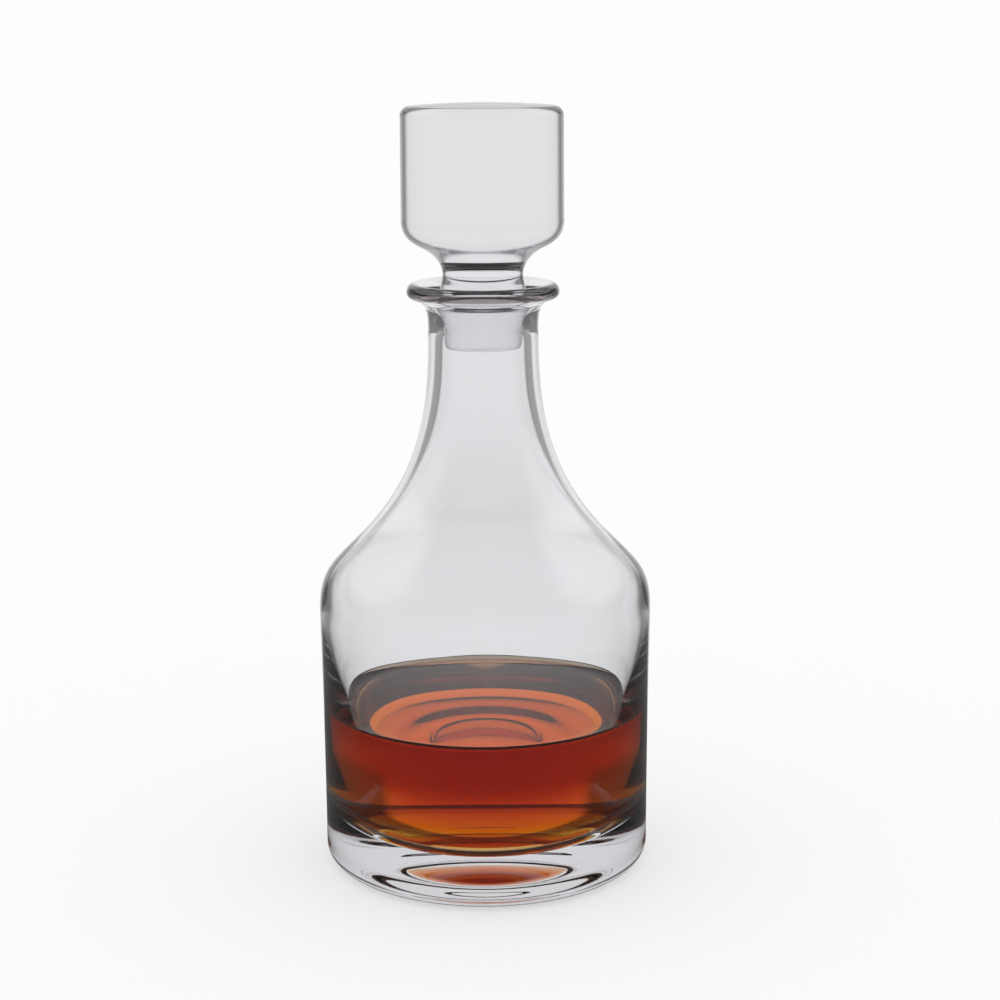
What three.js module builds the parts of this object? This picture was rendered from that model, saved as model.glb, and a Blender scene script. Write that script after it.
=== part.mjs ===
// Spirit decanter in clear hand-finished glass: a straight-sided body on a thick base, a round
// shoulder drawn up into a long neck, and a flared lip. A solid glass stopper stands in a ground
// taper in the neck, and the body holds a few measures of whisky.
//
// Every piece is a turned form. Its profile is drawn as (radius, height) and revolved about the
// upright axis. Sizes are in millimetres, +Z is up, and the origin is the middle of the base on
// the surface that the decanter stands on.
import * as THREE from 'three';

// Facets round each turned form, the same for all so that mating facets line up
const facets = 48;

// Underside
const restWidth = 9; // flat ring that the decanter stands on
const footRound = 6; // rounding where the base meets the wall
const hollowRise = 0.9; // very shallow hollow inside the flat ring
const puntRadius = 22; // domed punt in the middle of the hollow
const puntRise = 3.7; // top of the punt above the hollow
const puntEdge = 2.5; // softness of the punt's edge

// Body, outside
const footRadius = 55; // wall just above the foot
const shoulderRadius = 55.7; // the blown wall swells a little towards the shoulder
const wallHeight = 87.3; // from the table to where the shoulder starts
const shoulderInset = 14.5; // how far the shoulder comes in before it turns into the neck
const shoulderRise = 25.4;
const shoulderLean = 43.4; // degrees from upright where shoulder and neck curves meet
const neckRadius = 18.15; // waist of the neck
const neckRise = 70.3; // from the shoulder curve to the waist

// Lip
const lipRise = 13.9; // from the neck's waist to the mouth plane
const lipRadius = 25.1; // widest line of the lip
const lipThickness = 5.05; // under the rounded edge
const lipEdge = 2.4; // depth of the rounded edge
const lipCrown = 2.95; // widest line to the mouth plane

// Walls and inner floor
const bodyWall = 2.75; // glass where the shoulder starts
const shoulderWall = 1.45; // thinnest glass, where the shoulder and neck curves meet
const neckWall = 4.65; // glass at the neck's waist
const neckWallRise = 52; // from the thinnest glass up to the full thickness of the neck
const baseThickness = 12.7; // inner floor above the table
const floorRound = 17; // rounding between the inner floor and the wall
const heelWall = 10.87; // glass beside the upper end of that rounding
const heelLean = 10.2; // degrees from upright at which the rounding runs into the wall

// Ground seat for the stopper
const seatRadius = 13.6; // lower, narrow end of the taper
const seatTaper = 11.5; // degrees, half angle
const seatLength = 3;
const seatDrop = 12.9; // from the mouth plane down to the taper's upper end
const ledgeHeight = 0.7; // step under the seat, where the grinding stops
const mouthRadius = 21.8; // where the funnel of the mouth meets the top of the lip

// Stopper
const seatClearance = 0.3; // between the plug and its seat, square to the taper
const plugReach = 5.1; // plug below the narrow end of the seat
const plugLength = 15.1; // tip to the widest line of the plug
const plugBevel = 0.8;
const waistRadius = 13.2;
const waistRise = 8.8; // widest line of the plug to the waist
const flareRise = 9.2; // waist to the underside of the head
const flareReach = 7.6; // how far the flare comes out over that rise
const headRadius = 26.6;
const headTopRadius = 26.45; // the head draws in very slightly upwards
const headRound = 8.3; // rise of the head's lower rounding
const headHeight = 45.9; // from the top of the flare to the middle of the head's top
const headEdge = 3.2; // rounding of the head's top edge
const headCrown = 0.9; // the top is very slightly domed

// Whisky
const fillDepth = 40.4; // above the inner floor
const fillGap = 0.3; // between the whisky and the glass

// Heights and angles that follow from the sizes above
const slopeZ = wallHeight + shoulderRise;
const slopeRadius = shoulderRadius - shoulderInset;
const waistZ = slopeZ + neckRise;
const mouthZ = waistZ + lipRise;
const seatTopZ = mouthZ - seatDrop;
const seatZ = seatTopZ - seatLength;
const lean = THREE.MathUtils.degToRad(shoulderLean);
const taper = Math.tan(THREE.MathUtils.degToRad(seatTaper));
const tipZ = seatZ - plugReach;

const point = (radius, z) => new THREE.Vector2(radius, z);

// A cubic curve that leaves `from` and arrives at `to` along the two given handles.
function sweep(from, leave, arrive, to, steps) {
  const first = from.clone().add(leave);
  const second = to.clone().sub(arrive);
  return new THREE.CubicBezierCurve(from, first, second, to).getPoints(steps);
}

// Part of an ellipse about (radius, z), from one angle to another in degrees.
function arc(radius, z, width, height, start, end, steps) {
  const a = THREE.MathUtils.degToRad(start);
  const b = THREE.MathUtils.degToRad(end);
  return new THREE.EllipseCurve(radius, z, width, height, a, b, end < start).getPoints(steps);
}

// Joins runs of points into one profile and drops the points that two runs share.
function profile(...runs) {
  const line = [];
  for (const next of runs.flat()) {
    const last = line.at(-1);
    if (!last || last.distanceTo(next) > 1e-6) line.push(next);
  }
  return line;
}

// Moves a line of points square to itself by the amount given for each point's height. A line
// that climbs moves towards the axis.
function inward(points, amount) {
  return points.map((here, i) => {
    const before = points[Math.max(i - 1, 0)];
    const after = points[Math.min(i + 1, points.length - 1)];
    const along = after.clone().sub(before).normalize();
    return point(-along.y, along.x).multiplyScalar(amount(here.y)).add(here);
  });
}

// The outside of the shoulder and of the neck, from the wall up to the neck's waist.
function shoulderAndNeck() {
  const along = point(-Math.sin(lean), Math.cos(lean));
  const slope = point(slopeRadius, slopeZ);
  const shoulder = sweep(
    point(shoulderRadius, wallHeight),
    point(0, 0.53 * shoulderRise),
    along.clone().multiplyScalar(0.51 * Math.hypot(shoulderInset, shoulderRise)),
    slope,
    9,
  );
  const neck = sweep(
    slope,
    along.clone().multiplyScalar(0.42 * neckRise),
    point(0, 0.4 * neckRise),
    point(neckRadius, waistZ),
    11,
  );
  return profile(shoulder, neck);
}

// The punt, the hollow round it, the flat ring, the foot and the wall, from the axis out and up
// to the shoulder.
function foot() {
  const sphere = (puntRadius ** 2 + puntRise ** 2) / (2 * puntRise);
  const centreZ = hollowRise + puntRise - sphere;
  const edgeAngle = Math.asin(puntRadius / sphere);
  const domeAngle = edgeAngle - puntEdge / sphere;
  const domeEnd = point(sphere * Math.sin(domeAngle), centreZ + sphere * Math.cos(domeAngle));
  const puntEnd = point(puntRadius + puntEdge, hollowRise);
  const rest = point(footRadius - footRound - restWidth, 0);
  const ease = point(0.45 * (rest.x - puntEnd.x), 0);
  const wallRun = wallHeight - footRound;
  return profile(
    arc(0, centreZ, sphere, sphere, 90, 90 - THREE.MathUtils.radToDeg(domeAngle), 5),
    sweep(
      domeEnd,
      point(Math.cos(edgeAngle), -Math.sin(edgeAngle)).multiplyScalar(0.55 * puntEdge),
      point(0.55 * puntEdge, 0),
      puntEnd,
      3,
    ),
    sweep(puntEnd, ease, ease, rest, 5),
    arc(footRadius - footRound, footRound, footRound, footRound, -90, 0, 6),
    sweep(
      point(footRadius, footRound),
      point(0, 0.7 * wallRun),
      point(0, 0.1 * wallRun),
      point(shoulderRadius, wallHeight),
      4,
    ),
  );
}

// The lip, from the neck's waist round its edge and down the funnel of the mouth to the seat.
function lip() {
  const edgeRadius = lipRadius - lipEdge;
  const underZ = mouthZ - lipThickness;
  const seatTopRadius = seatRadius + taper * seatLength;
  const widestZ = mouthZ - lipCrown;
  const funnel = mouthRadius - seatTopRadius;
  return profile(
    sweep(point(neckRadius, waistZ), point(0, 5.5), point(3.3, 1.2), point(edgeRadius, underZ), 6),
    arc(edgeRadius, widestZ, lipEdge, lipThickness - lipCrown, -90, 0, 3),
    arc(edgeRadius, widestZ, lipEdge, lipCrown, 0, 90, 4),
    sweep(
      point(mouthRadius, mouthZ),
      point(-0.33 * funnel, -0.03 * seatDrop),
      point(-0.21 * funnel, -0.35 * seatDrop),
      point(seatTopRadius, seatTopZ),
      6,
    ),
    [point(seatRadius, seatZ)],
  );
}

// The glass at a height from the shoulder up. It was drawn thin between shoulder and neck.
function wallAt(z) {
  const { lerp, smoothstep } = THREE.MathUtils;
  return z < slopeZ
    ? lerp(bodyWall, shoulderWall, smoothstep(z, wallHeight, slopeZ))
    : lerp(shoulderWall, neckWall, smoothstep(z, slopeZ, slopeZ + neckWallRise));
}

// The inside below the seat: the round bowl over the thick base, then the walls up to the step
// under the seat. The space can be made smaller all round by `gap`, for what stands in it.
function chamber(gap) {
  const angle = THREE.MathUtils.degToRad(heelLean);
  const along = point(Math.sin(angle), Math.cos(angle));
  const heel = point(footRadius - heelWall, baseThickness + floorRound * (1 - along.x));
  const brim = point(shoulderRadius - bodyWall, wallHeight);
  const climb = brim.y - heel.y;
  const side = sweep(heel, along.multiplyScalar(0.26 * climb), point(0, 0.37 * climb), brim, 8);
  const flat = heel.x - floorRound * Math.cos(angle);
  const round = floorRound - gap;
  const walls = inward(shoulderAndNeck(), (z) => wallAt(z) + gap);
  const ledgeZ = seatZ - ledgeHeight;
  return profile(
    [point(0, baseThickness + gap)],
    arc(flat, baseThickness + floorRound, round, round, -90, -heelLean, 8),
    inward(side, () => gap).slice(1, -1),
    walls.filter((p) => p.y < ledgeZ - 1),
    [point(neckRadius - neckWall - gap, ledgeZ)],
  );
}

function bodyProfile() {
  return profile(foot(), shoulderAndNeck(), lip(), chamber(0).reverse());
}

function stopperProfile() {
  const clear = seatClearance / Math.cos(Math.atan(taper));
  const plugRadius = (z) => seatRadius - clear + taper * (z - seatZ);
  const widestZ = tipZ + plugLength;
  const waist = point(waistRadius, widestZ + waistRise);
  const flare = point(waistRadius + flareReach, waist.y + flareRise);
  const side = point(headRadius, flare.y + headRound);
  const topZ = flare.y + headHeight;
  const edgeZ = topZ - headCrown - headEdge;
  const edgeInset = headTopRadius - headEdge;
  return profile(
    [point(0, tipZ), point(plugRadius(tipZ) - plugBevel, tipZ)],
    [point(plugRadius(tipZ + plugBevel), tipZ + plugBevel)],
    sweep(point(plugRadius(widestZ), widestZ), point(0.3, 1.6), point(-0.1, 4.3), waist, 5),
    sweep(waist, point(0, 0.37 * flareRise), point(0.63 * flareReach, 0.23 * flareRise), flare, 6),
    sweep(flare, point(0.47 * flareReach, 1.8), point(0, 0.52 * headRound), side, 6),
    arc(edgeInset, edgeZ, headEdge, headEdge, 0, 84, 4),
    sweep(
      point(edgeInset, edgeZ + headEdge),
      point(-0.3 * edgeInset, 0.6 * headCrown),
      point(-0.4 * edgeInset, 0),
      point(0, topZ),
      3,
    ),
  );
}

// The whisky lies on the inner floor and follows the glass up to its flat surface.
function whiskyProfile() {
  const surfaceZ = baseThickness + fillDepth;
  const space = chamber(fillGap);
  const above = space.findIndex((p) => p.y >= surfaceZ);
  const low = space[above - 1];
  const brim = low.clone().lerp(space[above], (surfaceZ - low.y) / (space[above].y - low.y));
  return profile(space.slice(0, above), [brim, point(0, surfaceZ)]);
}

function turned(name, points, material) {
  const geometry = new THREE.LatheGeometry(points, facets);
  geometry.rotateX(Math.PI / 2);
  const mesh = new THREE.Mesh(geometry, material);
  mesh.name = name;
  return mesh;
}

const clearGlass = new THREE.MeshStandardMaterial({
  color: 0xdfdfe4,
  roughness: 0.02,
  metalness: 0,
  transparent: true,
  opacity: 0.3,
});
const whiskyColour = new THREE.MeshStandardMaterial({
  color: 0x9c2a12,
  roughness: 0.02,
  metalness: 0,
  transparent: true,
  opacity: 0.85,
});

const decanter = new THREE.Group();
decanter.add(turned('decanter_body', bodyProfile(), clearGlass));
decanter.add(turned('whisky', whiskyProfile(), whiskyColour));

const stopper = new THREE.Group();
stopper.add(turned('stopper', stopperProfile(), clearGlass));

const model = new THREE.Group();
model.add(decanter, stopper);
export default model;
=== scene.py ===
import math
import bmesh
import bpy
from mathutils import Matrix, Vector
from mathutils.geometry import interpolate_bezier


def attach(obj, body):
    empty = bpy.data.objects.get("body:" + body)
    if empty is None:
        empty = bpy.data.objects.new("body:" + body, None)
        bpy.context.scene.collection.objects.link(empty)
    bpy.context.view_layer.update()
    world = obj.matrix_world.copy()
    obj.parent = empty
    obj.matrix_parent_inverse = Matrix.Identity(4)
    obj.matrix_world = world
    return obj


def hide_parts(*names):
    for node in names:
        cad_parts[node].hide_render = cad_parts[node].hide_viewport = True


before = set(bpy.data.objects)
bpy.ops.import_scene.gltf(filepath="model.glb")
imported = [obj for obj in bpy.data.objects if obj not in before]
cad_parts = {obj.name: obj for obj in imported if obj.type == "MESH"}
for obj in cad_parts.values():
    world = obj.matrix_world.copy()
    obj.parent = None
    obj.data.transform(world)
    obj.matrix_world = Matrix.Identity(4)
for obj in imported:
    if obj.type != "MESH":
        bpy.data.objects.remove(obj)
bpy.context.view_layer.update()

mm = 0.001
scene = bpy.context.scene
print("frame loaded, nodes:", ", ".join(sorted(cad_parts)))


# turned forms: a profile of (radius, height) in millimetres, spun about the upright axis

def sweep(start, leave, arrive, end, steps):  # a cubic curve along two handles
    first = (start[0] + leave[0], start[1] + leave[1])
    second = (end[0] - arrive[0], end[1] - arrive[1])
    corners = [Vector((r, 0, z)) for r, z in (start, first, second, end)]
    return [(p.x, p.z) for p in interpolate_bezier(*corners, steps + 1)]


def arc(radius, z, width, height, fromDeg, toDeg, steps):  # part of an ellipse
    line = []
    for i in range(steps + 1):
        angle = math.radians(fromDeg + (toDeg - fromDeg) * i / steps)
        line.append((radius + width * math.cos(angle), z + height * math.sin(angle)))
    return line


def joined(*runs, samePoint=1e-5):  # one profile, without the points that two runs share
    line = []
    for p in (p for run in runs for p in run):
        if not line or math.dist(line[-1], p) > samePoint:
            line.append(p)
    return line


def inward(line, amount):  # moves a climbing line towards the axis, square to itself
    moved = []
    for i, (r, z) in enumerate(line):
        before, after = line[max(i - 1, 0)], line[min(i + 1, len(line) - 1)]
        dr, dz = after[0] - before[0], after[1] - before[1]
        size = math.hypot(dr, dz)
        moved.append((r - dz / size * amount(z), z + dr / size * amount(z)))
    return moved


def ease(share):  # 0 to 1, level at both ends
    share = min(max(share, 0), 1)
    return share * share * (3 - 2 * share)


def turnedPiece(name, line, rings=288, weld=1e-7):
    bm = bmesh.new()
    verts = [bm.verts.new((r * mm, 0, z * mm)) for r, z in line]
    for a, b in zip(verts, verts[1:]):
        bm.edges.new((a, b))
    bmesh.ops.spin(bm, geom=bm.verts[:] + bm.edges[:], axis=(0, 0, 1), cent=(0, 0, 0),
                   dvec=(0, 0, 0), angle=2 * math.pi, steps=rings, use_merge=True)
    bmesh.ops.remove_doubles(bm, verts=bm.verts[:], dist=weld)
    bmesh.ops.recalc_face_normals(bm, faces=bm.faces[:])
    for face in bm.faces:
        face.smooth = True
    mesh = bpy.data.meshes.new(name)
    bm.to_mesh(mesh)
    bm.free()
    piece = bpy.data.objects.new(name, mesh)
    scene.collection.objects.link(piece)
    return piece


# the vessel, in millimetres and degrees; a pull is a curve's handle as a share of its run
body = {
    "footRadius": 55.0, "shoulderRadius": 55.7, "wallHeight": 87.3, "footRound": 6.0,
    "restWidth": 9.0, "restStep": 0.3, "hollowRise": 0.9,
    "puntRadius": 22.0, "puntRise": 3.7, "puntEdge": 2.5, "puntPull": 0.55, "hollowPull": 0.45,
    "wallPull": 0.7, "wallTopPull": 0.1,
    "shoulderInset": 14.5, "shoulderRise": 25.4, "shoulderLean": 43.4,
    "shoulderPull": 0.53, "slopePull": 0.51, "neckPull": 0.42, "waistPull": 0.4,
    "neckRadius": 18.15, "neckRise": 70.3,
    "lipRise": 13.9, "lipRadius": 25.1, "lipThickness": 5.05, "lipEdge": 2.4, "lipCrown": 2.95,
    "lipLeave": (0, 5.5), "lipArrive": (3.3, 1.2),
    "mouthRadius": 21.8, "funnelLeave": (-0.33, -0.03), "funnelArrive": (-0.21, -0.35),
    "seatRadius": 13.6, "seatTaper": 11.5, "seatLength": 3.0, "seatDrop": 12.9,
    "seatLand": 0.1, "ledge": 0.7, "ledgeGap": 1.0,
    "bodyWall": 2.75, "shoulderWall": 1.45, "neckWall": 4.65, "neckWallRise": 52.0,
    "baseThickness": 12.7, "floorFlat": 27.4, "floorRound": 17.0, "heelLean": 10.2,
    "heelPull": 0.26, "chamberPull": 0.37,
}
slopeZ = body["wallHeight"] + body["shoulderRise"]
waistZ = slopeZ + body["neckRise"]
mouthZ = waistZ + body["lipRise"]
seatTopZ = mouthZ - body["seatDrop"]
seatZ = seatTopZ - body["seatLength"]
taper = math.tan(math.radians(body["seatTaper"]))


def shoulderAndNeck():
    lean = math.radians(body["shoulderLean"])
    slope = (body["shoulderRadius"] - body["shoulderInset"], slopeZ)
    reach = body["slopePull"] * math.hypot(body["shoulderInset"], body["shoulderRise"])
    pull = body["neckPull"] * body["neckRise"]
    return joined(
        sweep((body["shoulderRadius"], body["wallHeight"]),
              (0, body["shoulderPull"] * body["shoulderRise"]),
              (-math.sin(lean) * reach, math.cos(lean) * reach), slope, steps=30),
        sweep(slope, (-math.sin(lean) * pull, math.cos(lean) * pull),
              (0, body["waistPull"] * body["neckRise"]), (body["neckRadius"], waistZ), steps=34))


def wallAt(z):  # thin where the shoulder was drawn out, thick again in the neck
    foot, thin, thick = body["bodyWall"], body["shoulderWall"], body["neckWall"]
    if z < slopeZ:
        return foot + (thin - foot) * ease((z - body["wallHeight"]) / body["shoulderRise"])
    return thin + (thick - thin) * ease((z - slopeZ) / body["neckWallRise"])


def underside():  # punt, shallow hollow, flat ring, foot and wall
    punt, hollow, edge = body["puntRadius"], body["hollowRise"], body["puntEdge"]
    sphere = (punt ** 2 + body["puntRise"] ** 2) / (2 * body["puntRise"])
    centre = hollow + body["puntRise"] - sphere
    edgeAngle = math.asin(punt / sphere)
    dome = edgeAngle - edge / sphere
    domeEnd = (sphere * math.sin(dome), centre + sphere * math.cos(dome))
    foot, turn = body["footRadius"], body["footRound"]
    rest = foot - turn - body["restWidth"]
    lead = body["puntPull"] * edge
    slide = (body["hollowPull"] * (rest - punt - edge), 0)
    run = body["wallHeight"] - turn
    return joined(
        arc(0, centre, sphere, sphere, 90, 90 - math.degrees(dome), steps=24),
        sweep(domeEnd, (lead * math.cos(edgeAngle), -lead * math.sin(edgeAngle)),
              (lead, 0), (punt + edge, hollow), steps=8),
        sweep((punt + edge, hollow), slide, slide, (rest, 0), steps=16),
        [(rest + body["restStep"], 0), (foot - turn - body["restStep"], 0)],
        arc(foot - turn, turn, turn, turn, -90, 0, steps=14),
        sweep((foot, turn), (0, body["wallPull"] * run), (0, body["wallTopPull"] * run),
              (body["shoulderRadius"], body["wallHeight"]), steps=16))


def lip():  # flare, rounded lip, funnel mouth and ground seat
    edge, under = body["lipRadius"] - body["lipEdge"], mouthZ - body["lipThickness"]
    widest = mouthZ - body["lipCrown"]
    seatTop = body["seatRadius"] + taper * body["seatLength"]
    drop, funnel = body["seatDrop"], body["mouthRadius"] - seatTop
    leave, arrive, land = body["funnelLeave"], body["funnelArrive"], body["seatLand"]
    return joined(
        sweep((body["neckRadius"], waistZ), body["lipLeave"], body["lipArrive"],
              (edge, under), steps=16),
        arc(edge, widest, body["lipEdge"], body["lipThickness"] - body["lipCrown"],
            -90, 0, steps=8),
        arc(edge, widest, body["lipEdge"], body["lipCrown"], 0, 90, steps=12),
        sweep((body["mouthRadius"], mouthZ), (leave[0] * funnel, leave[1] * drop),
              (arrive[0] * funnel, arrive[1] * drop), (seatTop, seatTopZ), steps=20),
        [(body["seatRadius"] + land * taper, seatZ + land), (body["seatRadius"], seatZ)])


def chamber(gap):  # the inside below the seat, made smaller all round by the gap
    floor, turn, flat = body["baseThickness"], body["floorRound"], body["floorFlat"]
    lean = math.radians(body["heelLean"])
    heel = (flat + turn * math.cos(lean), floor + turn - turn * math.sin(lean))
    top = (body["shoulderRadius"] - body["bodyWall"], body["wallHeight"])
    rise = top[1] - heel[1]
    pull = body["heelPull"] * rise
    bowl = joined(
        [(0, floor)],
        arc(flat, floor + turn, turn, turn, -90, -body["heelLean"], steps=24),
        sweep(heel, (pull * math.sin(lean), pull * math.cos(lean)),
              (0, body["chamberPull"] * rise), top, steps=24))
    walls = inward(shoulderAndNeck(), lambda z: wallAt(z) + gap)
    ledgeZ = seatZ - body["ledge"]
    return joined(
        inward(bowl, lambda z: gap)[:-1],
        [p for p in walls if p[1] < ledgeZ - body["ledgeGap"]],
        [(body["neckRadius"] - body["neckWall"] - gap, ledgeZ)])


def bodyProfile():
    return joined(underside(), shoulderAndNeck(), lip(), chamber(0)[::-1])


# the stopper, from the tip of its plug to the crown of its head
stopperSize = {
    "clearance": 0.3, "plugReach": 5.1, "plugLength": 15.1, "plugBevel": 0.8, "tipStep": 0.4,
    "plugLeave": (0.3, 1.6), "waistArrive": (-0.1, 4.3),
    "waistRadius": 13.2, "waistRise": 8.8, "waistPull": 0.37,
    "flareRise": 9.2, "flareReach": 7.6, "flareArrive": (0.63, 0.23),
    "chinPull": 0.47, "chinRise": 1.8, "sidePull": 0.52,
    "headRadius": 26.6, "headTopRadius": 26.45, "headRound": 8.3, "headHeight": 45.9,
    "headEdge": 3.2, "edgeEnd": 84, "headCrown": 0.9, "crownLeave": (-0.3, 0.6), "crownPull": -0.4,
}


def stopperProfile():
    s = stopperSize
    clear = s["clearance"] / math.cos(math.atan(taper))
    tip = seatZ - s["plugReach"]
    wide = tip + s["plugLength"]

    def plug(z):
        return body["seatRadius"] - clear + taper * (z - seatZ)

    waist = (s["waistRadius"], wide + s["waistRise"])
    flare = (waist[0] + s["flareReach"], waist[1] + s["flareRise"])
    side = (s["headRadius"], flare[1] + s["headRound"])
    top = flare[1] + s["headHeight"]
    edge = top - s["headCrown"] - s["headEdge"]
    inset = s["headTopRadius"] - s["headEdge"]
    bevel, crown = s["plugBevel"], s["crownLeave"]
    return joined(
        [(0, tip), (plug(tip) - bevel - s["tipStep"], tip)],
        sweep((plug(tip) - bevel, tip), (0.5 * bevel, 0), (0, 0.5 * bevel),
              (plug(tip + bevel), tip + bevel), steps=5),
        sweep((plug(wide), wide), s["plugLeave"], s["waistArrive"], waist, steps=14),
        sweep(waist, (0, s["waistPull"] * s["flareRise"]),
              (s["flareArrive"][0] * s["flareReach"], s["flareArrive"][1] * s["flareRise"]),
              flare, steps=18),
        sweep(flare, (s["chinPull"] * s["flareReach"], s["chinRise"]),
              (0, s["sidePull"] * s["headRound"]), side, steps=18),
        arc(inset, edge, s["headEdge"], s["headEdge"], 0, s["edgeEnd"], steps=12),
        sweep((inset, edge + s["headEdge"]), (crown[0] * inset, crown[1] * s["headCrown"]),
              (s["crownPull"] * inset, 0), (0, top), steps=10))


# the drink: it runs a hair into the glass, and its rim climbs the wall
whiskySize = {
    "fillDepth": 40.4, "sunk": 0.06, "meniscus": 1.9, "rimWidth": 5.0, "rimRound": 0.08,
    "rimLeave": (-0.25, -0.75), "rimArrive": (-2.2, 0),
}
surfaceZ = body["baseThickness"] + whiskySize["fillDepth"]


def whiskyProfile():
    space = chamber(-whiskySize["sunk"])
    climb, leave = whiskySize["meniscus"], whiskySize["rimLeave"]
    above = next(i for i, p in enumerate(space) if p[1] >= surfaceZ + climb)
    low, high = space[above - 1], space[above]
    share = (surfaceZ + climb - low[1]) / (high[1] - low[1])
    brim = (low[0] + share * (high[0] - low[0]), surfaceZ + climb)
    return joined(
        space[:above], [brim],
        sweep((brim[0] - whiskySize["rimRound"], brim[1]), (leave[0], leave[1] * climb),
              whiskySize["rimArrive"], (brim[0] - whiskySize["rimWidth"], surfaceZ), steps=14),
        [(0, surfaceZ)])


decanterGlass = turnedPiece("decanter_glass", bodyProfile())
stopperGlass = turnedPiece("stopper_glass", stopperProfile())
whisky = turnedPiece("whisky_fill", whiskyProfile())
print("turned pieces:", [len(o.data.polygons) for o in (decanterGlass, stopperGlass, whisky)])


# node helpers: each adds to a node tree and returns a socket

def emptyMaterial(name):
    material = bpy.data.materials.new(name)
    material.use_nodes = True
    material.node_tree.nodes.clear()
    return material, material.node_tree


def feed(tree, socket, value):  # sets a plain value and links a socket
    if isinstance(value, (int, float, tuple)):
        socket.default_value = value
    else:
        tree.links.new(value, socket)


def calc(tree, operation, first, second=0.0):
    node = tree.nodes.new("ShaderNodeMath")
    node.operation = operation
    feed(tree, node.inputs[0], first)
    feed(tree, node.inputs[1], second)
    return node.outputs[0]


def times(tree, product, *others):
    for value in others:
        product = calc(tree, "MULTIPLY", product, value)
    return product


def without(tree, share):  # what a share leaves of 1
    return calc(tree, "SUBTRACT", 1.0, share)


def eased(tree, value, low, high, start=0.0, end=1.0):  # a soft step from start to end
    node = tree.nodes.new("ShaderNodeMapRange")
    node.interpolation_type = "SMOOTHSTEP"
    given = {"Value": value, "From Min": low, "From Max": high, "To Min": start, "To Max": end}
    for socket, item in given.items():
        feed(tree, node.inputs[socket], item)
    return node.outputs["Result"]


def band(tree, height, low, high, soft):  # 1 between two heights in millimetres
    return times(tree, eased(tree, height, (low - soft) * mm, (low + soft) * mm),
                 eased(tree, height, (high - soft) * mm, (high + soft) * mm, 1.0, 0.0))


def mixedLevel(tree, share, first, second):
    node = tree.nodes.new("ShaderNodeMix")
    for socket, value in zip(("Factor", "A", "B"), (share, first, second)):
        feed(tree, node.inputs[socket], value)
    return node.outputs[0]


def toned(tree, colour, share, tone):  # lays a tone over a colour
    node = tree.nodes.new("ShaderNodeMix")
    node.data_type = "RGBA"
    for i, value in ((0, share), (6, colour), (7, tone)):
        feed(tree, node.inputs[i], value)
    return node.outputs[2]


def vectorLength(tree, vector):
    node = tree.nodes.new("ShaderNodeVectorMath")
    node.operation = "LENGTH"
    tree.links.new(vector, node.inputs[0])
    return node.outputs["Value"]


def axes(tree, vector):
    node = tree.nodes.new("ShaderNodeSeparateXYZ")
    tree.links.new(vector, node.inputs[0])
    return node.outputs


def newGroup(name, takes, gives):
    group = bpy.data.node_groups.new(name, "ShaderNodeTree")
    for socket in takes:
        kind = "NodeSocketVector" if socket == "Direction" else "NodeSocketFloat"
        group.interface.new_socket(socket, in_out="INPUT", socket_type=kind)
    for socket in gives:
        group.interface.new_socket(socket, in_out="OUTPUT", socket_type="NodeSocketFloat")
    return group, group.nodes.new("NodeGroupInput"), group.nodes.new("NodeGroupOutput")


def placed(tree, group, **values):  # puts a node group into a tree
    node = tree.nodes.new("ShaderNodeGroup")
    node.node_tree = group
    for socket, value in values.items():
        feed(tree, node.inputs[socket], value)
    return node.outputs


def noise(tree, vector, scale, detail):
    node = tree.nodes.new("ShaderNodeTexNoise")
    node.inputs["Detail"].default_value = detail
    feed(tree, node.inputs["Scale"], scale)
    tree.links.new(vector, node.inputs["Vector"])
    return node.outputs[0]


def turnedPlaceGroup():  # height and distance from the axis of a turned piece, in metres
    tree, given, result = newGroup("turnedPlace", [], ["Height", "Radius"])
    coords = tree.nodes.new("ShaderNodeTexCoord")
    parts = axes(tree, coords.outputs["Object"])
    squares = calc(tree, "ADD", calc(tree, "POWER", parts["X"], 2.0),
                   calc(tree, "POWER", parts["Y"], 2.0))
    tree.links.new(parts["Z"], result.inputs["Height"])
    tree.links.new(calc(tree, "SQRT", squares), result.inputs["Radius"])
    return tree


grind = {"grainScale": 2600, "grainDetail": 3, "ragged": 0.0012}


def groundZoneGroup():  # 1 on a ground taper: between two heights, inside a radius
    tree, given, result = newGroup(
        "groundZone", ["Low", "High", "Radius"], ["Mask"])
    coords = tree.nodes.new("ShaderNodeTexCoord")
    grain = noise(tree, coords.outputs["Object"], grind["grainScale"], grind["grainDetail"])
    ragged = times(tree, calc(tree, "SUBTRACT", grain, 0.5), grind["ragged"])
    place = placed(tree, turnedPlace)
    height = calc(tree, "ADD", place["Height"], ragged)
    mask = times(tree, calc(tree, "GREATER_THAN", height, given.outputs["Low"]),
                 calc(tree, "LESS_THAN", height, given.outputs["High"]),
                 calc(tree, "LESS_THAN", place["Radius"], given.outputs["Radius"]))
    tree.links.new(mask, result.inputs["Mask"])
    return tree


working = {"ringStretch": (0.12, 0.12, 1.0), "ringShare": 0.35}


def workedGlassGroup():  # the slow ripple and the faint tint streaks of worked glass
    tree, given, result = newGroup("workedGlass", ["Rings", "Waves"], ["Height", "Streak"])
    coords = tree.nodes.new("ShaderNodeTexCoord")
    stretch = tree.nodes.new("ShaderNodeMapping")
    stretch.inputs["Scale"].default_value = working["ringStretch"]
    tree.links.new(coords.outputs["Object"], stretch.inputs["Vector"])
    rings = noise(tree, stretch.outputs[0], given.outputs["Rings"], detail=1)
    waves = noise(tree, coords.outputs["Object"], given.outputs["Waves"], detail=1)
    height = calc(tree, "ADD", times(tree, rings, working["ringShare"]), waves)
    tree.links.new(height, result.inputs["Height"])
    tree.links.new(waves, result.inputs["Streak"])
    return tree


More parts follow.
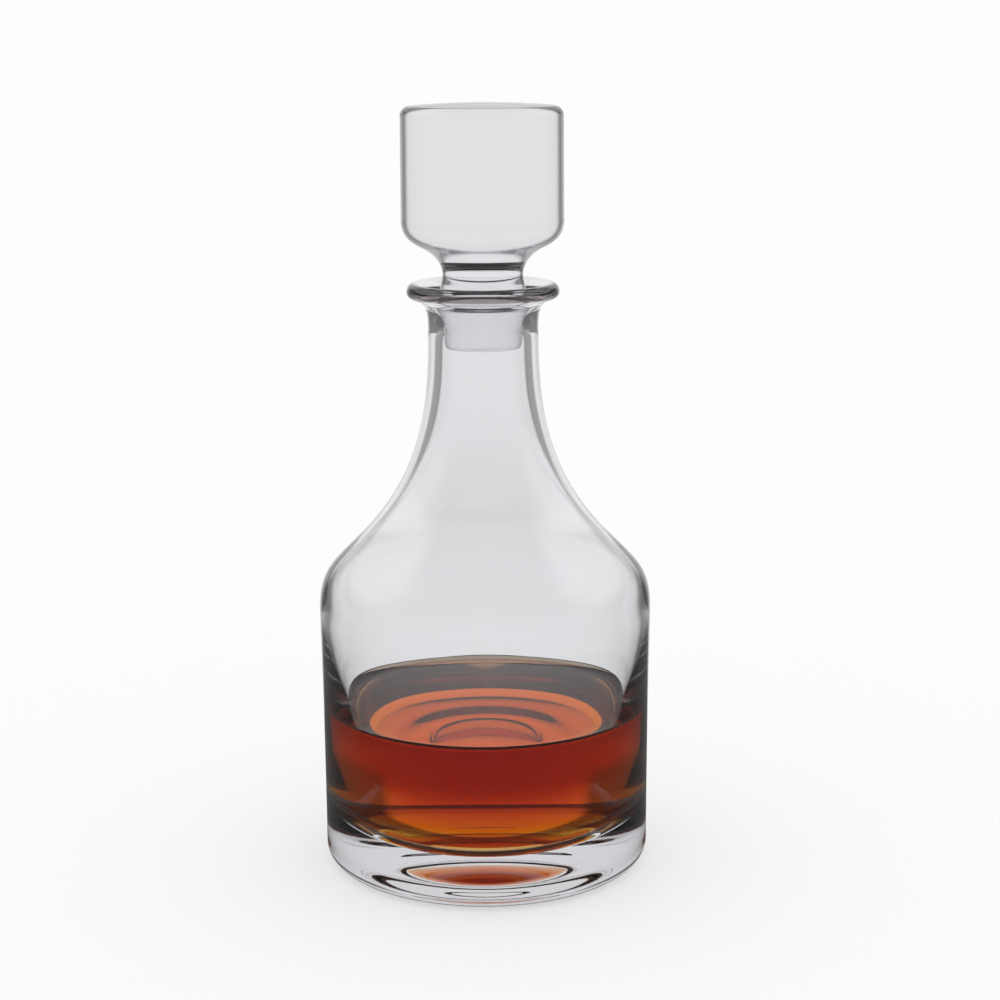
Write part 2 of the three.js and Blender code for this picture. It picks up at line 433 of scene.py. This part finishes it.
turnedPlace = turnedPlaceGroup()
groundZone = groundZoneGroup()
workedGlass = workedGlassGroup()

# a tone colours the light at each surface that it passes; scales are per metre
glassLook = {
    "ior": 1.52, "gloss": 0.36, "depthColour": (0.30, 0.27, 0.40, 1), "ripple": 0.00001,
}
bodyLook = {
    "pale": (0.987, 0.991, 1.0, 1), "deep": (0.979, 0.983, 0.997, 1), "depth": 2.7,
    "rings": 260, "waves": 45,
    "groundZone": (seatZ, seatTopZ, 16.5), "grind": 0.1,
    # painted shade: a dark band on the outer front of the lip
    "lipBand": (mouthZ - 4.0, mouthZ - 1.7, 0.4), "lipFront": (21.5, 22.8),
    "lipShadeColour": (0.20, 0.16, 0.16, 1),
    # painted shade: the shoulder and neck darken towards their outline
    "outlineBand": (80, waistZ - 25, 12), "outlineFacing": (0.76, 0.88),
    "outlineShadeColour": (0.30, 0.30, 0.32, 1),
}
stopperLook = {
    "pale": (0.982, 0.983, 1.0, 1), "deep": (0.974, 0.975, 0.996, 1), "depth": 1.5,
    "rings": 260, "waves": 45,
    "groundZone": (seatZ - 6, seatZ + 10, 17), "grind": 0.22,
    # painted shade: the head darkens towards its outline, and a band round its waist
    "edgeFacing": (0.55, 0.68), "edgeShadeColour": (0.12, 0.12, 0.13, 1),
    "waistBand": (202.0, 203.9, 0.45), "waistShadeColour": (0.50, 0.47, 0.50, 1),
}


def facingEdge(tree):  # rises to 1 where glass turns away
    layer = tree.nodes.new("ShaderNodeLayerWeight")
    layer.inputs["Blend"].default_value = 0.5
    return layer.outputs["Facing"]


def entering(tree):  # 1 for a ray on its way into the glass
    geometry = tree.nodes.new("ShaderNodeNewGeometry")
    return without(tree, geometry.outputs["Backfacing"])


def bodyTones(tree, colour, ground):  # painted shade: a dark band on the front of the thick lip, and darker outline edges on the shoulder and neck
    look = bodyLook
    place = placed(tree, turnedPlace)
    front = times(tree, band(tree, place["Height"], *look["lipBand"]),
                  eased(tree, place["Radius"], *(r * mm for r in look["lipFront"])),
                  entering(tree))
    # painted shade: the front of the lip is darkened where rays enter it
    colour = toned(tree, colour, front, look["lipShadeColour"])
    # painted shade: darker where the shoulder and neck turn away
    edge = times(tree, eased(tree, facingEdge(tree), *look["outlineFacing"]),
                 band(tree, place["Height"], *look["outlineBand"]))
    return toned(tree, colour, edge, look["outlineShadeColour"])


def stopperTones(tree, colour, ground):  # painted shade: darker edges on the solid head, and a dark band round its waist
    look = stopperLook
    # painted shade: the head darkens where it turns away, except on the ground plug
    edge = times(tree, eased(tree, facingEdge(tree), *look["edgeFacing"]), without(tree, ground))
    colour = toned(tree, colour, edge, look["edgeShadeColour"])
    place = placed(tree, turnedPlace)
    # painted shade: a dark band round the waist
    waist = times(tree, band(tree, place["Height"], *look["waistBand"]), entering(tree))
    return toned(tree, colour, waist, look["waistShadeColour"])


def glassMaterial(name, look, tones):
    material, tree = emptyMaterial(name)
    shader = tree.nodes.new("ShaderNodeBsdfPrincipled")
    output = tree.nodes.new("ShaderNodeOutputMaterial")
    shader.inputs["IOR"].default_value = glassLook["ior"]
    shader.inputs["Specular IOR Level"].default_value = glassLook["gloss"]
    shader.inputs["Transmission Weight"].default_value = 1.0
    depth = tree.nodes.new("ShaderNodeVolumeAbsorption")  # thick glass drinks a little light
    depth.inputs["Color"].default_value = glassLook["depthColour"]
    depth.inputs["Density"].default_value = look["depth"]
    tree.links.new(depth.outputs["Volume"], output.inputs["Volume"])
    low, high, radius = (size * mm for size in look["groundZone"])
    ground = placed(tree, groundZone, Low=low, High=high, Radius=radius)["Mask"]
    worked = placed(tree, workedGlass, Rings=look["rings"], Waves=look["waves"])
    colour = toned(tree, look["pale"], worked["Streak"], look["deep"])
    tree.links.new(tones(tree, colour, ground), shader.inputs["Base Color"])
    tree.links.new(times(tree, ground, look["grind"]), shader.inputs["Roughness"])
    bump = tree.nodes.new("ShaderNodeBump")
    bump.inputs["Distance"].default_value = glassLook["ripple"]
    tree.links.new(worked["Height"], bump.inputs["Height"])
    tree.links.new(bump.outputs["Normal"], shader.inputs["Normal"])
    tree.links.new(shader.outputs["BSDF"], output.inputs["Surface"])
    return material


whiskyLook = {
    "colour": (0.964, 0.79, 0.23, 1), "density": 200, "ior": 1.36, "gloss": 0.25,
    "clear": (1.0, 1.0, 1.0, 1), "upright": (0.42, 0.62),
    # painted shade: the upper wall, the sides and the rim of the drink are darkened
    "wallShadeFrom": (27, 41), "wallShadeColour": (0.27, 0.12, 0.12, 1),
    "sideFacing": (0.185, 0.225), "sideFade": (15, 8), "sideShadeColour": (0.10, 0.09, 0.09, 1),
    "brimFrom": (0.02, 0.25), "brimShadeColour": (0.42, 0.36, 0.30, 1),
}


def whiskyMaterial():  # painted shade: the drink is darkened on its upper wall, more so at its sides, and at its climbing rim
    look = whiskyLook
    material, tree = emptyMaterial("whisky")
    shader = tree.nodes.new("ShaderNodeBsdfPrincipled")
    output = tree.nodes.new("ShaderNodeOutputMaterial")
    height = placed(tree, turnedPlace)["Height"]
    geometry = tree.nodes.new("ShaderNodeNewGeometry")
    slope = calc(tree, "ABSOLUTE", axes(tree, geometry.outputs["Normal"])["Z"])
    upright = eased(tree, slope, *look["upright"], 1.0, 0.0)
    deep = times(tree, upright, eased(tree, height, *(z * mm for z in look["wallShadeFrom"])))
    fade = ((surfaceZ - down) * mm for down in look["sideFade"])
    side = times(tree, eased(tree, facingEdge(tree), *look["sideFacing"]),
                 eased(tree, height, *fade, 1.0, 0.0), upright)
    brim = eased(tree, height, *((surfaceZ + up) * mm for up in look["brimFrom"]))
    # painted shade on the upper wall
    colour = toned(tree, look["clear"], deep, look["wallShadeColour"])
    # painted shade at the sides
    colour = toned(tree, colour, side, look["sideShadeColour"])
    # painted shade on the climbing rim
    colour = toned(tree, colour, brim, look["brimShadeColour"])
    tree.links.new(colour, shader.inputs["Base Color"])
    shader.inputs["Roughness"].default_value = 0.0
    shader.inputs["IOR"].default_value = look["ior"]
    shader.inputs["Specular IOR Level"].default_value = look["gloss"]
    shader.inputs["Transmission Weight"].default_value = 1.0
    volume = tree.nodes.new("ShaderNodeVolumeAbsorption")
    volume.inputs["Color"].default_value = look["colour"]
    volume.inputs["Density"].default_value = look["density"]
    tree.links.new(shader.outputs["BSDF"], output.inputs["Surface"])
    tree.links.new(volume.outputs["Volume"], output.inputs["Volume"])
    return material


decanterGlass.data.materials.append(glassMaterial("body_glass", bodyLook, bodyTones))
stopperGlass.data.materials.append(glassMaterial("stopper_glass", stopperLook, stopperTones))
whisky.data.materials.append(whiskyMaterial())
print("finishes:", [o.data.materials[0].name for o in (decanterGlass, stopperGlass, whisky)])

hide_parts("decanter_body")
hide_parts("stopper")
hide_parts("whisky")
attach(decanterGlass, "decanter")
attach(stopperGlass, "stopper")
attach(whisky, "decanter")
print("pieces ride on their bodies")

cameraSet = {
    "distance": 0.7025, "height": 0.27972, "pitch": 12.5, "yaw": 0.425, "roll": 0.306,
    "lens": 77.4, "sensor": 36,
}


def placeCamera():
    data = bpy.data.cameras.new("camera")
    data.lens = cameraSet["lens"]
    data.sensor_width = cameraSet["sensor"]
    camera = bpy.data.objects.new("camera", data)
    scene.collection.objects.link(camera)
    turn = (Matrix.Rotation(math.radians(-cameraSet["yaw"]), 4, "Z")
            @ Matrix.Rotation(math.radians(90 - cameraSet["pitch"]), 4, "X")
            @ Matrix.Rotation(math.radians(-cameraSet["roll"]), 4, "Z"))
    place = Matrix.Translation((0, -cameraSet["distance"], cameraSet["height"]))
    camera.matrix_world = place @ turn
    scene.camera = camera


placeCamera()
print("camera placed, lens", cameraSet["lens"], "mm")

# levels of light, where 1 is white; metres and degrees
studio = {
    "floorSize": 6.0, "floorDrop": 0.00015, "floorColour": 0.955, "shadowShare": 0.45,
    "daylight": 1.03, "backdrop": 0.983, "screen": 0.865,
    "ceiling": 0.07, "ceilingFrom": 49, "ceilingTo": 60,
    "boardNear": 0.16, "boardFar": 0.31, "boardReach": (0.16, 0.42),
    "boardSide": (24, 35), "boardTop": (13, 18),
    "roomShade": 0.06, "roomSide": (80, 120), "tableGlow": 1.0, "glowReach": (0.08, 0.15),
}


def inRadians(degrees):
    return [math.radians(a) for a in degrees]


def sideBoardsGroup():  # dark boards that stand left and right of the screen
    tree, given, result = newGroup("sideBoards", ["Direction"], ["Mask", "Shade", "Front"])
    parts = axes(tree, given.outputs["Direction"])
    turn = calc(tree, "ABSOLUTE", calc(tree, "ARCTAN2", parts["X"], parts["Y"]))
    mask = eased(tree, turn, *inRadians(studio["boardSide"]))
    shade = eased(tree, vectorLength(tree, given.outputs["Direction"]), *studio["boardReach"],
                  studio["boardNear"], studio["boardFar"])
    front = eased(tree, turn, *inRadians(studio["roomSide"]))
    tree.links.new(mask, result.inputs["Mask"])
    tree.links.new(shade, result.inputs["Shade"])
    tree.links.new(front, result.inputs["Front"])
    return tree


sideBoards = sideBoardsGroup()


def polishedRay(tree, path):  # 1 for a ray that only glass has turned so far
    either = calc(tree, "MAXIMUM", path["Is Glossy Ray"], path["Is Transmission Ray"])
    return times(tree, either, calc(tree, "LESS_THAN", path["Diffuse Depth"], 0.5))


def mirroredRay(tree, path):  # 1 for a ray that glass has thrown back
    return calc(tree, "GREATER_THAN", path["Glossy Depth"], 0.5)


def layFloor():
    bpy.ops.mesh.primitive_plane_add(size=studio["floorSize"])
    floor = bpy.context.object
    floor.name = "floor"
    floor.location.z = -studio["floorDrop"]
    material, tree = emptyMaterial("floor")
    shader = tree.nodes.new("ShaderNodeBsdfPrincipled")
    output = tree.nodes.new("ShaderNodeOutputMaterial")
    place = tree.nodes.new("ShaderNodeTexCoord").outputs["Object"]
    path = tree.nodes.new("ShaderNodeLightPath").outputs
    boards = placed(tree, sideBoards, Direction=place)
    mirrored = mirroredRay(tree, path)
    dim = mixedLevel(tree, boards["Mask"], studio["screen"], boards["Shade"])
    shade = mixedLevel(tree, mirrored, studio["floorColour"],
                       calc(tree, "DIVIDE", dim, studio["daylight"]))
    tree.links.new(shade, shader.inputs["Base Color"])
    shader.inputs["Roughness"].default_value = 1.0
    shader.inputs["Specular IOR Level"].default_value = 0.0
    spot = eased(tree, vectorLength(tree, place), *studio["glowReach"],
                 studio["tableGlow"], studio["screen"])
    glow = tree.nodes.new("ShaderNodeEmission")  # the lit table, as camera and glass see it
    camera = path["Is Camera Ray"]
    tree.links.new(mixedLevel(tree, camera, spot, studio["backdrop"]), glow.inputs["Strength"])
    blend = tree.nodes.new("ShaderNodeMixShader")
    straight = times(tree, polishedRay(tree, path), without(tree, mirrored))
    lit = times(tree, camera, 1 - studio["shadowShare"])
    tree.links.new(calc(tree, "MAXIMUM", straight, lit), blend.inputs[0])
    tree.links.new(shader.outputs["BSDF"], blend.inputs[1])
    tree.links.new(glow.outputs["Emission"], blend.inputs[2])
    tree.links.new(blend.outputs["Shader"], output.inputs["Surface"])
    material.cycles.emission_sampling = "NONE"
    floor.data.materials.append(material)


layFloor()
print("floor laid")


def lightWorld():
    world = bpy.data.worlds.new("studio")
    scene.world = world
    world.use_nodes = True
    tree = world.node_tree
    view = tree.nodes.new("ShaderNodeTexCoord").outputs["Generated"]
    path = tree.nodes.new("ShaderNodeLightPath").outputs
    boards = placed(tree, sideBoards, Direction=view)
    rise = calc(tree, "ARCSINE", axes(tree, view)["Z"])
    room = eased(tree, rise, *inRadians((studio["ceilingFrom"], studio["ceilingTo"])),
                 1.0, studio["ceiling"])
    low = eased(tree, rise, *inRadians(studio["boardTop"]), 1.0, 0.0)
    mirrored = mirroredRay(tree, path)
    ahead = mixedLevel(tree, times(tree, low, mirrored, boards["Mask"]),
                       studio["screen"], boards["Shade"])
    behind = times(tree, without(tree, low), mirrored, boards["Front"])
    seen = times(tree, room, mixedLevel(tree, behind, ahead, studio["roomShade"]))
    plain = mixedLevel(tree, path["Is Camera Ray"], studio["daylight"], studio["backdrop"])
    background = tree.nodes["Background"]
    tree.links.new(mixedLevel(tree, polishedRay(tree, path), plain, seen),
                   background.inputs["Strength"])
    background.inputs["Color"].default_value = (1, 1, 1, 1)


lightWorld()
scene.view_settings.view_transform = "Standard"
scene.cycles.max_bounces = 32
scene.cycles.transmission_bounces = 32
scene.cycles.glossy_bounces = 16
print("studio lit")
